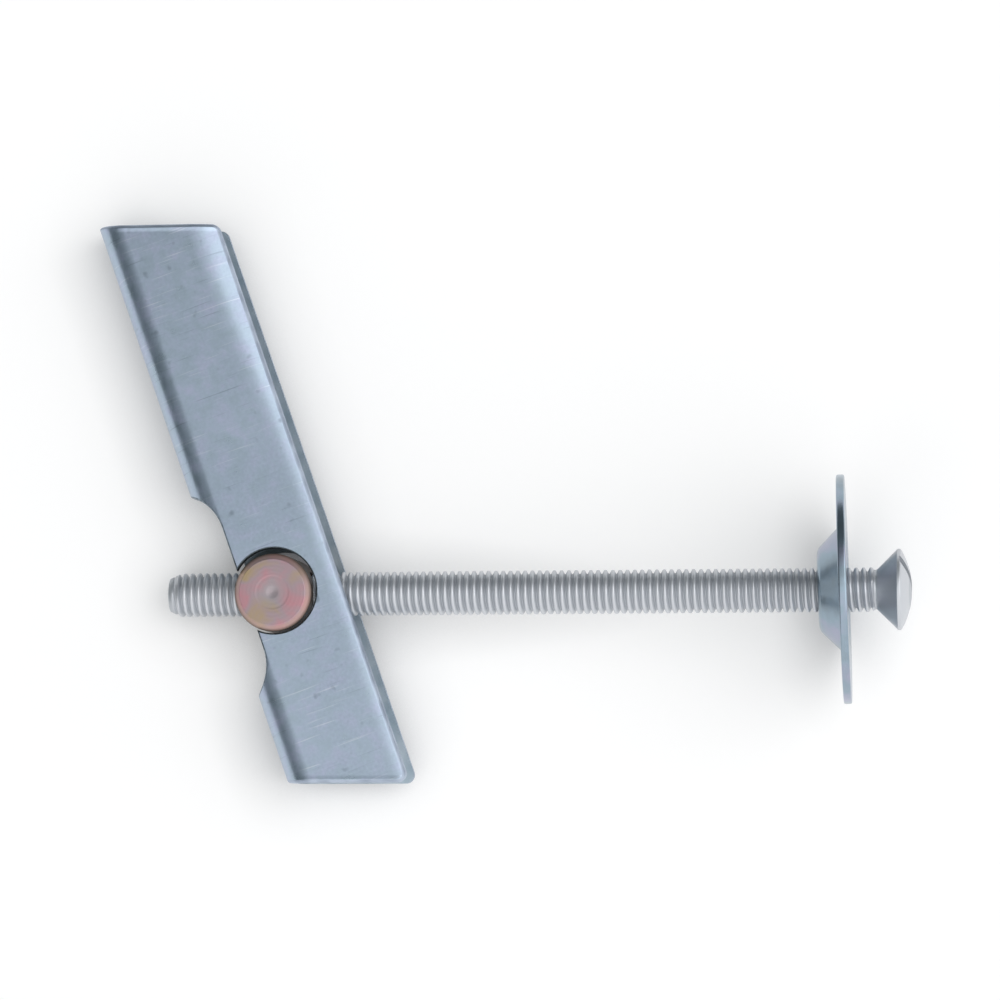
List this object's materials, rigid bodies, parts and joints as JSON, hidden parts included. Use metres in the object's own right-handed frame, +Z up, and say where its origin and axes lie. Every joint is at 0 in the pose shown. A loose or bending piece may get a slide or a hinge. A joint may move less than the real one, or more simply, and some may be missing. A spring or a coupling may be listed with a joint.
{
  "type": "gravity toggle bolt",
  "caption": "Hollow-wall anchor: a folded steel bar pivots off its centre on a tapped cross pin near the tip of a countersunk machine screw with a cup washer.",
  "frame": {"origin": "on the floor, under the middle of the part's box as it lies at rest", "axes": "+X along the screw's run on the floor, from its tip to its head; +Y towards the bar's long arm; +Z up"},
  "size_m": [0.111, 0.077, 0.0309],
  "materials": {
    "screw_zinc": "bright zinc plate",
    "nut_chromate": "yellow chromated zinc plate",
    "bar_zinc": "blue passivated zinc plate",
    "washer_zinc": "blue passivated zinc plate"
  },
  "bodies": {
    "screw": {"machine_screw": "screw_zinc"},
    "nut": {"trunnion_nut": "nut_chromate"},
    "bar": {"toggle_bar": "bar_zinc"},
    "washer": {"cup_washer": "washer_zinc"}
  },
  "joints": [
    {"name": "nut_travel", "type": "slide", "parent": "screw", "child": "nut", "axis": [0.9925, 0, 0.122], "range_m": [-0.008, 0.02]},
    {"name": "bar_swing", "type": "hinge", "parent": "nut", "child": "bar", "pos_m": [-0.03042, -0.01247, 0.00612], "axis": [-0.1219, -0.0285, 0.9921], "range_deg": [-66, 70.8]},
    {"name": "washer_slide", "type": "slide", "parent": "screw", "child": "washer", "axis": [0.9925, 0, 0.122], "range_m": [-0.02, 0.007]}
  ]
}
